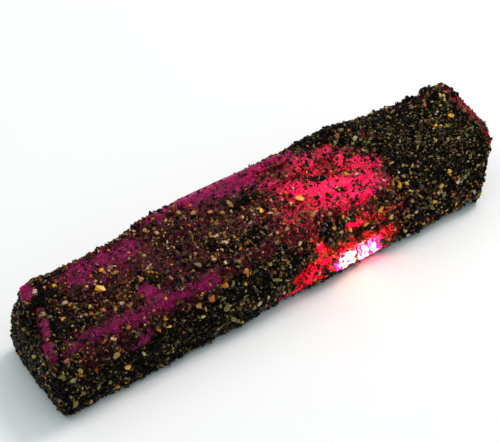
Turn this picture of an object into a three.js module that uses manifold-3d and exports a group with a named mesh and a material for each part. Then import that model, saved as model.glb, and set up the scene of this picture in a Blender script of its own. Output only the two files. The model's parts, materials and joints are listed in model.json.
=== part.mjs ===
import * as THREE from 'three';
import { ConvexGeometry } from 'three/addons/geometries/ConvexGeometry.js';
import { mergeVertices } from 'three/addons/utils/BufferGeometryUtils.js';
import Module from 'manifold-3d';

// A raw ruby: one stick-shaped crystal with flat faces, lying on a long side, and the crust of
// mica and sand grains that still sticks to it. The crust is broken open in places, and the
// crystal shows there. Millimetres, +Z up, X along the crystal, its front side towards -Y.

// Driving dimensions
const halfLength = 63;          // of the crystal, measured at its front foot
const crystalBottom = 1.1;      // the crystal lies on its crust, this far above the ground
const crustDepth = 1.2;         // of the crust over the crystal's faces
const crustLeast = 0.85;        // its depth in the pits, where it still covers the crystal
const crustGap = 0.3;           // between the crystal and the inside of the crust
const crustOpen = -1.0;         // where the crust is missing, its skin dips this far inside
const crustEdge = 1.6;          // width of the slope from full crust down to bare crystal
const crustRagged = 0.5;        // how far that slope wanders to and fro
const lumpHeight = 0.85;        // of the lumps and pits in the crust
const lumpSpacing = 5.2;        // from one lump to the next
const grainHeight = 0.45;       // of the smaller knobs on the lumps
const grainSpacing = 2.3;
const stepRoot = 1.0;           // a growth step reaches this far down into its face
const swellStations = 9;        // sections along the crystal that carry its swelling sides
const probeReach = 6;           // the net is dropped onto the crystal from this far outside
const underneath = -0.6;        // a skin that faces down more than this lies flat on the ground
const crustCells = { along: 66, across: 13, up: 10 };
const mergeWithin = 1e-4;       // corners closer than this are one

// The crystal's long edges, walking round its section from the front foot upwards. Each edge
// runs from left to right, and swell is how far its middle stands out, as [y, z].
const longEdges = [
  { name: 'frontFoot', left: [-0.7, -12.6, 0], right: [-4.0, -11.4, 0.4], swell: [-0.4, 0] },
  { name: 'frontSill', left: [-1.1, -13.1, 2.0], right: [-3.3, -12.5, 2.4], swell: [-0.4, 0] },
  { name: 'ridgeFront', left: [-2.0, -11.4, 15.7], right: [0.6, -10.1, 16.0], swell: [-0.2, 0.1] },
  { name: 'ridgeTop', left: [-1.5, -9.1, 17.5], right: [0.9, -7.9, 17.9], swell: [-0.2, 0.1] },
  { name: 'crestFront', left: [1.8, 7.6, 20.7], right: [0.0, 7.0, 21.3], swell: [1.0, 0.2] },
  { name: 'crestBack', left: [2.8, 10.7, 20.2], right: [-0.7, 9.7, 20.7], swell: [1.2, 0.2] },
  { name: 'heelBack', left: [0.1, 12.5, 3.0], right: [-1.8, 12.0, 3.2], swell: [0.7, 0] },
  { name: 'backFoot', left: [0.3, 11.4, 0], right: [-2.6, 10.8, 0.2], swell: [0.5, 0] },
];

// Corners that cut the ends: a narrow bevel over the left end, a facet at its back corner, and
// a slight point in the middle of the right end.
const endCorners = [
  [-64.2, 3.6, 18.2], [-65.2, -8.4, 15.9], [-61.9, 9.6, 15.6], [62.2, -1.0, 11.0],
];

// Growth steps: low terraces on the faces with pointed ends, each with its reach on the face in
// [x, y] or [x, z], its rise, the width of its slanted rim and the length of its points.
const topSteps = [
  { from: [-29, 3.4], to: [29, 9.9], rise: 0.7, rim: 1.2, tip: 6 },
  { from: [-60, -7.4], to: [-27, -3.6], rise: 0.45, rim: 0.9, tip: 3 },
  { from: [5, -5.4], to: [34, 1.4], rise: 0.45, rim: 1.0, tip: 5 },
  { from: [-56, 1.0], to: [-36, 6.0], rise: 0.4, rim: 0.8, tip: 4 },
];
const frontSteps = [
  { from: [-57, 6.0], to: [-31, 12.6], rise: 0.45, rim: 0.9, tip: 5 },
  { from: [4, 1.2], to: [36, 8.5], rise: 0.8, rim: 1.1, tip: 3 },
];
const backSteps = [
  { from: [-24, 6.5], to: [14, 12.8], rise: 0.6, rim: 1.2, tip: 5 },
  { from: [25, 7.0], to: [52, 13.5], rise: 0.45, rim: 1.0, tip: 5 },
];

// The shoulder: a second crystal that grew along the top back edge and stands out from it. Its
// top slants down to inset, its edge has a bevel, and its lip leans out and turns in to the foot.
const shoulder = {
  from: -37, to: 43, taper: 13, out: 13.5, top: 22.8, inset: 7.5, slant: 1.2, bevel: [2.6, 1.6],
  lean: 0.3, lip: 4.6, foot: 14.5,
};

// Bare crystal: strips from one point to another with their half width.
const bareStrips = [
  { name: 'crest band, left', from: [-21, 11.0, 21.0], to: [-8, 11.6, 21.6], half: 2.9 },
  { name: 'crest band, middle', from: [-8, 11.6, 21.6], to: [9, 10.6, 21.7], half: 3.1 },
  { name: 'crest band, right', from: [9, 10.6, 21.7], to: [18, 9.4, 21.5], half: 2.6 },
  { name: 'window on top, left', from: [9, 3.4, 20.4], to: [22, 0.2, 20.0], half: 4.3 },
  { name: 'window on top, right', from: [15, -4.5, 19.0], to: [27, -1.0, 19.6], half: 4.1 },
  { name: 'window on top, back', from: [22, 3.4, 20.6], to: [29, 4.2, 20.6], half: 2.7 },
  { name: 'window at the front', from: [11, -12.4, 4.6], to: [26, -12.2, 4.2], half: 3.4 },
  { name: 'window at the front, top', from: [9.5, -11.6, 12.0], to: [12, -12.3, 6.0], half: 2.1 },
  { name: 'sill, left of the window', from: [-2, -12.6, 1.9], to: [10, -12.6, 2.1], half: 1.3 },
  { name: 'ridge band, left', from: [-60, -10.2, 16.9], to: [-41, -10.2, 17.1], half: 1.7 },
  { name: 'ridge band, right', from: [-41, -10.2, 17.1], to: [-17, -10.0, 17.4], half: 1.6 },
  { name: 'patch above the ridge', from: [-37.5, -5.2, 18.3], to: [-35.5, -9.5, 17.6], half: 1.9 },
  { name: 'patch below the ridge', from: [-44, -11.6, 9.5], to: [-40.8, -11.3, 12.8], half: 1.6 },
  { name: 'top left patch', from: [-48, 6.2, 21.2], to: [-34, 5.6, 21.2], half: 2.4 },
  { name: 'top left patch, front', from: [-44, 2.9, 20.6], to: [-33, 2.6, 20.7], half: 1.9 },
  { name: 'left end bevel', from: [-62.9, 3.0, 18.4], to: [-64.4, -8.0, 16.2], half: 1.5 },
  { name: 'back corner facet', from: [-60.6, 8.0, 18.0], to: [-60.4, 8.6, 16.5], half: 1.9 },
  { name: 'right end rim', from: [63.0, 7.0, 20.0], to: [64.2, -7.0, 17.2], half: 1.2 },
  { name: 'back window', from: [-14, 12.6, 13.0], to: [9, 12.8, 12.2], half: 2.6 },
  { name: 'back window, right', from: [31, 11.6, 10.5], to: [43, 11.3, 11.2], half: 2.3 },
];

// Where grains are heaped higher, with the extra depth of crust.
const heaps = [
  { name: 'front heap', from: [-13, -12.0, 8.0], to: [6, -12.0, 9.0], half: 5.0, extra: 0.7 },
  { name: 'top left heap', from: [-57, -3.5, 18.4], to: [-45, -4.5, 18.2], half: 3.4, extra: 0.5 },
  { name: 'top right heap', from: [37, 3.0, 20.5], to: [59, 2.0, 20.5], half: 6.0, extra: 0.3 },
  { name: 'middle heap', from: [-14, 1.0, 20.2], to: [2, -4.0, 19.4], half: 2.8, extra: 0.35 },
  { name: 'back heap', from: [14, 11.8, 9.0], to: [24, 11.6, 8.0], half: 5.0, extra: 0.5 },
];

const wasm = await Module();
wasm.setup();

// A closed three.js geometry as a solid that can be joined and cut.
function solidOf(geometry) {
  const bare = new THREE.BufferGeometry();
  bare.setAttribute('position', geometry.getAttribute('position'));
  if (geometry.index) bare.setIndex(geometry.index);
  const merged = mergeVertices(bare, mergeWithin);
  return new wasm.Manifold(new wasm.Mesh({
    numProp: 3,
    vertProperties: new Float32Array(merged.getAttribute('position').array),
    triVerts: new Uint32Array(merged.index.array),
  }));
}

// The solid back as a geometry with flat-shaded faces.
function geometryOf(solid) {
  const mesh = solid.getMesh();
  const geometry = new THREE.BufferGeometry();
  geometry.setAttribute('position', new THREE.BufferAttribute(mesh.vertProperties, 3));
  geometry.setIndex(new THREE.BufferAttribute(mesh.triVerts, 1));
  const flat = geometry.toNonIndexed();
  flat.computeVertexNormals();
  return flat;
}

// A flat-faced block over its corner points.
function block(corners) {
  return solidOf(new ConvexGeometry(corners));
}

// The corners of a body, moved out from its middle until each side has grown by the same amount.
function movedOut(corners, grow) {
  const box = new THREE.Box3().setFromPoints(corners);
  const centre = box.getCenter(new THREE.Vector3());
  const size = box.getSize(new THREE.Vector3());
  const stretch = size.clone().addScalar(2 * grow).divide(size);
  return corners.map((corner) => corner.clone().sub(centre).multiply(stretch).add(centre));
}

// A point on a long edge: t is 0 at the left end and 1 at the right end.
function onEdge(edge, t) {
  const swell = Math.sin(Math.PI * t);
  return new THREE.Vector3(
    THREE.MathUtils.lerp(edge.left[0] - halfLength, edge.right[0] + halfLength, t),
    THREE.MathUtils.lerp(edge.left[1], edge.right[1], t) + edge.swell[0] * swell,
    THREE.MathUtils.lerp(edge.left[2], edge.right[2], t) + edge.swell[1] * swell + crystalBottom,
  );
}

function edgeNamed(name) {
  return longEdges.find((edge) => edge.name === name);
}

// A point of the face between two long edges, at x and at a given y or z.
function between(lowName, highName, x, axis, value) {
  const t = (x + halfLength) / (2 * halfLength);
  const low = onEdge(edgeNamed(lowName), t);
  const high = onEdge(edgeNamed(highName), t);
  const share = (value - low[axis]) / (high[axis] - low[axis]);
  return low.lerp(high, share);
}

// The three faces that carry growth steps: where a point lies on each, and which way it faces.
const topFace = {
  at: (x, y) => between('ridgeTop', 'crestFront', x, 'y', y),
  outward: new THREE.Vector3(0, -0.17, 0.98),
};
const frontFace = {
  at: (x, z) => between('frontSill', 'ridgeFront', x, 'z', z + crystalBottom),
  outward: new THREE.Vector3(0, -0.99, 0.1),
};
const backFace = {
  at: (x, z) => between('heelBack', 'crestBack', x, 'z', z + crystalBottom),
  outward: new THREE.Vector3(0, 0.98, 0.2),
};

// A growth step: a low block whose rim slants down to the face all round.
function growthStep(step, face, grow) {
  const rows = [
    [-stepRoot, -step.rim - grow],
    [grow, -grow],
    [step.rise + grow, step.rim - grow],
  ];
  const corners = [];
  for (const [lift, inset] of rows) {
    const [left, right] = [step.from[0] + inset, step.to[0] - inset];
    const [low, high] = [step.from[1] + inset, step.to[1] - inset];
    const middle = (low + high) / 2;
    const outline = [
      [left, middle], [left + step.tip, low], [right - step.tip, low],
      [right, middle], [right - step.tip, high], [left + step.tip, high],
    ];
    for (const [x, across] of outline) {
      corners.push(face.at(x, across).addScaledVector(face.outward, lift));
    }
  }
  return block(corners);
}

// The shoulder thins out to both ends along the crystal's top back edge.
function shoulderBlock(grow) {
  const { from, to, taper, out, top, inset, slant, bevel, lean, lip, foot } = shoulder;
  const stations = [[from - grow, 0], [from + taper, 1], [to - taper, 1], [to + grow, 0]];
  const corners = [];
  for (const [x, fade] of stations) {
    const edge = onEdge(edgeNamed('crestBack'), (x + halfLength) / (2 * halfLength));
    const y = THREE.MathUtils.lerp(edge.y, out, fade) + grow;
    const z = THREE.MathUtils.lerp(edge.z, top, fade) + grow;
    corners.push(
      new THREE.Vector3(x, inset, z - slant),
      new THREE.Vector3(x, y - bevel[0], z),
      new THREE.Vector3(x, y, z - bevel[1]),
      new THREE.Vector3(x, y + lean, z - lip - 2 * grow),
      new THREE.Vector3(x, inset, foot - grow),
    );
  }
  return block(corners);
}

// The whole crystal, grown by grow on every side.
function crystalSolid(grow) {
  const corners = endCorners.map((corner) => new THREE.Vector3(...corner));
  for (const edge of longEdges) {
    for (let station = 0; station < swellStations; station += 1) {
      corners.push(onEdge(edge, station / (swellStations - 1)));
    }
  }
  let crystal = block(movedOut(corners, grow)).add(shoulderBlock(grow));
  for (const step of topSteps) crystal = crystal.add(growthStep(step, topFace, grow));
  for (const step of frontSteps) crystal = crystal.add(growthStep(step, frontFace, grow));
  for (const step of backSteps) crystal = crystal.add(growthStep(step, backFace, grow));
  return crystal;
}

// A random number from 0 to 1 that belongs to one point of a lattice. Its factors are large odd
// numbers that mix the bits well.
function latticeValue(i, j, k) {
  let bits = Math.imul(i, 374761393) ^ Math.imul(j, 668265263) ^ Math.imul(k, 2147483647);
  bits = Math.imul(bits ^ (bits >>> 13), 1274126177);
  return ((bits ^ (bits >>> 16)) >>> 0) / (2 ** 32 - 1);
}

// Smooth bumps from -1 to 1, with the given spacing.
function bumps(point, spacing) {
  const base = point.clone().divideScalar(spacing);
  const cell = base.clone().floor();
  const part = base.sub(cell);
  const ease = (value) => value * value * (3 - 2 * value);
  let sum = 0;
  for (const i of [0, 1]) {
    for (const j of [0, 1]) {
      for (const k of [0, 1]) {
        const weightX = i ? ease(part.x) : 1 - ease(part.x);
        const weightY = j ? ease(part.y) : 1 - ease(part.y);
        const weightZ = k ? ease(part.z) : 1 - ease(part.z);
        sum += weightX * weightY * weightZ * latticeValue(cell.x + i, cell.y + j, cell.z + k);
      }
    }
  }
  return 2 * sum - 1;
}

// How far a point is from a strip's middle line.
function distanceTo(strip, point) {
  const line = new THREE.Line3(new THREE.Vector3(...strip.from), new THREE.Vector3(...strip.to));
  return line.closestPointToPoint(point, true, new THREE.Vector3()).distanceTo(point);
}

// Depth of the crust over a point of the crystal: full, heaped, or none where it is bare.
function crustAt(point) {
  let depth = crustDepth + lumpHeight * bumps(point, lumpSpacing);
  depth += grainHeight * bumps(point, grainSpacing);
  for (const heap of heaps) {
    const near = 1 - THREE.MathUtils.smoothstep(distanceTo(heap, point), 0, heap.half);
    depth += heap.extra * near;
  }
  let cover = 1;
  for (const strip of bareStrips) {
    const reach = strip.half + crustRagged * bumps(point, grainSpacing);
    const away = distanceTo(strip, point) - reach;
    cover = Math.min(cover, THREE.MathUtils.smoothstep(away, -crustEdge / 2, crustEdge / 2));
  }
  return THREE.MathUtils.lerp(crustOpen, Math.max(depth, crustLeast), cover);
}

// The four sides of the section, each from the middle of one bevel to the middle of the next.
function sidePoint(sideIndex, share, t) {
  const corners = [0, 1, 2, 3].map((step) => onEdge(longEdges[(2 * sideIndex + step) % 8], t));
  const start = corners[0].clone().lerp(corners[1], 0.5);
  const end = corners[2].clone().lerp(corners[3], 0.5);
  const path = new THREE.CurvePath();
  path.add(new THREE.LineCurve3(start, corners[1]));
  path.add(new THREE.LineCurve3(corners[1], corners[2]));
  path.add(new THREE.LineCurve3(corners[2], end));
  return path.getPoint(share);
}

// Where a point of the box from -1 to 1 lies on the crystal. Its ends are rings round their middle.
function onCrystal(u, v, w) {
  const t = (u + 1) / 2;
  const ring = Math.max(Math.abs(v), Math.abs(w), Number.EPSILON);
  const [a, b] = [v / ring, w / ring];
  let rim;
  if (Math.abs(a) > Math.abs(b)) rim = a < 0 ? sidePoint(0, (b + 1) / 2, t) : sidePoint(2, (1 - b) / 2, t);
  else rim = b > 0 ? sidePoint(1, (a + 1) / 2, t) : sidePoint(3, (1 - a) / 2, t);
  const middle = new THREE.Vector3();
  for (const edge of longEdges) middle.addScaledVector(onEdge(edge, t), 1 / longEdges.length);
  return middle.lerp(rim, ring);
}

// A net of even cells round the crystal, ends and all.
function crustNet() {
  const { along, across, up } = crustCells;
  const box = new THREE.BoxGeometry(2, 2, 2, along, across, up);
  box.deleteAttribute('normal');
  box.deleteAttribute('uv');
  const net = mergeVertices(box, mergeWithin);
  const places = net.getAttribute('position');
  const place = new THREE.Vector3();
  for (let i = 0; i < places.count; i += 1) {
    place.fromBufferAttribute(places, i);
    places.setXYZ(i, ...onCrystal(place.x, place.y, place.z));
  }
  net.computeVertexNormals();
  return net;
}

// The skin of the crust before the crystal is taken out of it: each point of the net drops onto
// the crystal and moves out again by the crust's depth there. Its underside is flat.
function crustSkin() {
  const crystal = new THREE.Mesh(geometryOf(crystalSolid(0)));
  const skin = crustNet();
  const places = skin.getAttribute('position');
  const outward = skin.getAttribute('normal').clone();
  const place = new THREE.Vector3();
  const normal = new THREE.Vector3();
  const probe = new THREE.Raycaster();
  for (let i = 0; i < places.count; i += 1) {
    place.fromBufferAttribute(places, i);
    normal.fromBufferAttribute(outward, i);
    probe.set(place.clone().addScaledVector(normal, probeReach), normal.clone().negate());
    const hits = probe.intersectObject(crystal);
    if (hits.length > 0) place.copy(hits[0].point);
    place.addScaledVector(normal, crustAt(place));
    places.setXYZ(i, place.x, place.y, normal.z < underneath ? 0 : Math.max(place.z, 0));
  }
  return solidOf(skin);
}

// The crust: its skin with room for the crystal cut out. Crumbs that the cut leaves are dropped.
function crustSolid() {
  const pieces = crustSkin().subtract(crystalSolid(crustGap)).decompose();
  return pieces.reduce((most, piece) => (piece.volume() > most.volume() ? piece : most));
}

function rubyCrystal() {
  const material = new THREE.MeshStandardMaterial({ color: '#9c1f5b', roughness: 0.3, metalness: 0 });
  const mesh = new THREE.Mesh(geometryOf(crystalSolid(0)), material);
  mesh.name = 'ruby_crystal';
  return mesh;
}

function sandCrust() {
  const material = new THREE.MeshStandardMaterial({ color: '#37321f', roughness: 0.85, metalness: 0 });
  const mesh = new THREE.Mesh(geometryOf(crustSolid()), material);
  mesh.name = 'sand_crust';
  return mesh;
}

// The origin is under the middle of the whole stone, on the ground.
const rawRuby = new THREE.Group();
rawRuby.add(rubyCrystal(), sandCrust());
const reach = new THREE.Box3().setFromObject(rawRuby);
const middle = reach.getCenter(new THREE.Vector3());
rawRuby.position.set(-middle.x, -middle.y, -reach.min.z);

export default rawRuby;
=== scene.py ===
# A raw ruby: a stick-shaped crystal still wrapped in its crust of mica and sand grains. Studio
# lamps light the crystal alone at its front foot and from above, so that it glows there.
import itertools
import json
import math

import bmesh
import bpy
import numpy as np
from mathutils import Euler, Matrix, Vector
from mathutils.bvhtree import BVHTree

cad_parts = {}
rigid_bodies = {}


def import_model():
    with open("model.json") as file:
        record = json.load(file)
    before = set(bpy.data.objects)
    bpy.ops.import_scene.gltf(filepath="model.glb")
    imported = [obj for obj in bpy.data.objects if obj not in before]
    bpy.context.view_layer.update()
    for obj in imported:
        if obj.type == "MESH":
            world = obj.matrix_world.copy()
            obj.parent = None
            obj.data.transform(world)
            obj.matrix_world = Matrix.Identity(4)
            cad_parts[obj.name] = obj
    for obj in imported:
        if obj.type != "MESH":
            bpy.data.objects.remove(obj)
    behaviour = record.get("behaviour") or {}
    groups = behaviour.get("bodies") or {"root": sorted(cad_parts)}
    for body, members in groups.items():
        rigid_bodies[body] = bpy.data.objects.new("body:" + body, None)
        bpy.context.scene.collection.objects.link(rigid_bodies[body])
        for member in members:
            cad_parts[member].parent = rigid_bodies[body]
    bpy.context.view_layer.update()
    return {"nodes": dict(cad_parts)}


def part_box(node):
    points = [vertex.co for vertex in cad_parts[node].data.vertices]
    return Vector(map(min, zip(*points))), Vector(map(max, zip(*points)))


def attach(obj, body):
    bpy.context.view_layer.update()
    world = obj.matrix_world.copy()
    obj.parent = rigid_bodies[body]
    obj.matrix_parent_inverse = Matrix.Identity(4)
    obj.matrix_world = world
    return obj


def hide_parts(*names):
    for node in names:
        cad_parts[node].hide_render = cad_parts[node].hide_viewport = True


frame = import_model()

mm = 0.001

# Places on the stone are written in millimetres from the middle of its design. The crystal's left
# end and its front lie here in that design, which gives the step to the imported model.
crystalCorner = (-65.2, -13.93)
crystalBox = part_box("ruby_crystal")
designStep = np.array([
    crystalBox[0][0] / mm - crystalCorner[0],
    crystalBox[0][1] / mm - crystalCorner[1],
    0.0,
])


# The linear colour, with full alpha, of one written as sRGB hex.
def linearColour(hexCode):
    channels = [int(hexCode[i:i + 2], 16) / 255 for i in (1, 3, 5)]
    linear = [c / 12.92 if c <= 0.04045 else ((c + 0.055) / 1.055) ** 2.4 for c in channels]
    return (*linear, 1.0)


# Smooth bumps from -1 to 1 at many points at once, from one fixed lattice of random values.
# Patterns that start in other places of the lattice don't line up.
latticeSize = 32
latticeSeed = 11
latticeValues = np.random.default_rng(latticeSeed).random((latticeSize,) * 3)
latticeStarts = {
    "bedRough": 1.9, "edgeWander": 3.3, "bedPatches": 5.7, "edgeFray": 7.1,
    "warm": 13.2, "olive": 14.2, "silt": 13.2,
}


def bumps(points, spacing, start=0.0):
    base = points / spacing + start
    cell = np.floor(base).astype(int)
    ease = base - cell
    ease = ease * ease * (3 - 2 * ease)
    total = np.zeros(len(points))
    for corner in itertools.product((0, 1), repeat=3):
        weight = np.where(corner, ease, 1 - ease).prod(axis=1)
        i, j, k = ((cell + corner) % latticeSize).T
        total += weight * latticeValues[i, j, k]
    return 2 * total - 1


def smoothStep(value, low, high):
    share = np.clip((value - low) / (high - low), 0, 1)
    return share * share * (3 - 2 * share)


# How far points are from the line between two points, less a half width.
def fromLine(points, start, end, half):
    start, end = np.array(start, float), np.array(end, float)
    along = end - start
    share = np.clip((points - start) @ along / (along @ along), 0, 1)
    return np.linalg.norm(points - start - share[:, None] * along, axis=1) - half


# A finished mesh as an object at the origin.
def addPiece(name, mesh):
    mesh.name = name
    piece = bpy.data.objects.new(name, mesh)
    bpy.context.scene.collection.objects.link(piece)
    return piece


# A copy of a CAD node's mesh with its corners merged and even cells of one size all over.
def evenCopy(node, cell, mergeWithin):
    source = frame["nodes"][node]
    shape = bmesh.new()
    shape.from_mesh(source.data)
    bmesh.ops.remove_doubles(shape, verts=shape.verts, dist=mergeWithin)
    holder = addPiece("holder", bpy.data.meshes.new("holder"))
    shape.to_mesh(holder.data)
    shape.free()
    remesh = holder.modifiers.new("remesh", "REMESH")
    remesh.mode = "VOXEL"
    remesh.voxel_size = cell
    wrap = holder.modifiers.new("wrap", "SHRINKWRAP")
    wrap.target = source
    wrap.wrap_method = "NEAREST_SURFACEPOINT"
    bpy.context.view_layer.update()
    graph = bpy.context.evaluated_depsgraph_get()
    even = bpy.data.meshes.new_from_object(holder.evaluated_get(graph))
    bpy.data.objects.remove(holder)
    return even


def vectorsOf(items, name):
    values = np.empty(len(items) * 3)
    items.foreach_get(name, values)
    return values.reshape(-1, 3)


def placesOf(mesh):
    return vectorsOf(mesh.vertices, "co")


def normalsOf(mesh):
    return vectorsOf(mesh.vertex_normals, "vector")


def storeValues(mesh, name, values):
    mesh.attributes.new(name, "FLOAT", "POINT").data.foreach_set("value", values.astype(np.float32))


# The crystal: the CAD solid in fine cells, with growth lines and pits. Heights and spacings in mm.
crystalShape = {
    "cell": 0.48 * mm,
    "mergeWithin": 0.01 * mm,
    "rippleHeight": 0.05,     # of the growth lines along the crystal
    "rippleAcross": 0.9,      # from one line to the next
    "rippleAlong": 14.0,
    "pitHeight": 0.05,
    "pitSpacing": 1.6,
    "edgeFade": 0.8,          # how softly a raised edge ends
}
# Edges where the crystal itself stands as high as the crust: name, start, end, half width, and how
# far it is drawn out along each axis.
raisedEdges = [
    ("right end, back", (61.6, 10.6, 21.2), (63, 7, 22.3), 1.3, (1.8, 0.5, 0.3)),
    ("right end, middle", (63, 7, 22.2), (63.9, -7.9, 18.9), 1.1, (1.7, 0, 0.2)),
    ("right end, front", (63.9, -7.9, 18.9), (63.6, -10.1, 16.8), 0.9, (1, -0.3, 0.1)),
    ("back corner", (-59.3, 10.3, 21), (-60.6, 7.7, 21.4), 1.6, (-0.3, 0.3, 0.4)),
    ("left end, back", (-60, 2.4, 20.8), (-62.4, -4.2, 19.5), 1.2, (-0.1, 0, 0.45)),
    ("left end, front", (-62.4, -4.2, 19.5), (-64.6, -9.6, 17.9), 1.2, (-0.1, 0, 0.45)),
    ("crest, left", (-27, 11.4, 20.5), (-14, 12, 21.6), 2, (0, 0.2, 0.5)),
    ("crest, right", (-14, 12, 21.6), (12, 9.8, 22.9), 2.4, (0, 0.2, 0.8)),
]


def makeCrystal(shape):
    mesh = evenCopy("ruby_crystal", shape["cell"], shape["mergeWithin"])
    places, normals = placesOf(mesh), normalsOf(mesh)
    ripple = np.array([shape["rippleAlong"], shape["rippleAcross"], shape["rippleAcross"]])
    lift = shape["rippleHeight"] * bumps(places / mm / ripple, 1.0)
    lift += shape["pitHeight"] * bumps(places / mm, shape["pitSpacing"])
    drawn = np.zeros_like(places)
    for name, start, end, half, step in raisedEdges:
        away = fromLine(places / mm - designStep, start, end, half)
        share = 1 - smoothStep(away, -shape["edgeFade"], shape["edgeFade"])
        drawn += share[:, None] * (np.array(step) - drawn)
    places += normals * (lift * mm)[:, None] + drawn * mm
    mesh.vertices.foreach_set("co", places.ravel())
    mesh.update()
    return mesh


crystalMesh = makeCrystal(crystalShape)
crystalCells = np.array([tuple(cell.vertices) for cell in crystalMesh.polygons])
print("crystal:", len(crystalCells), "faces")

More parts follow.
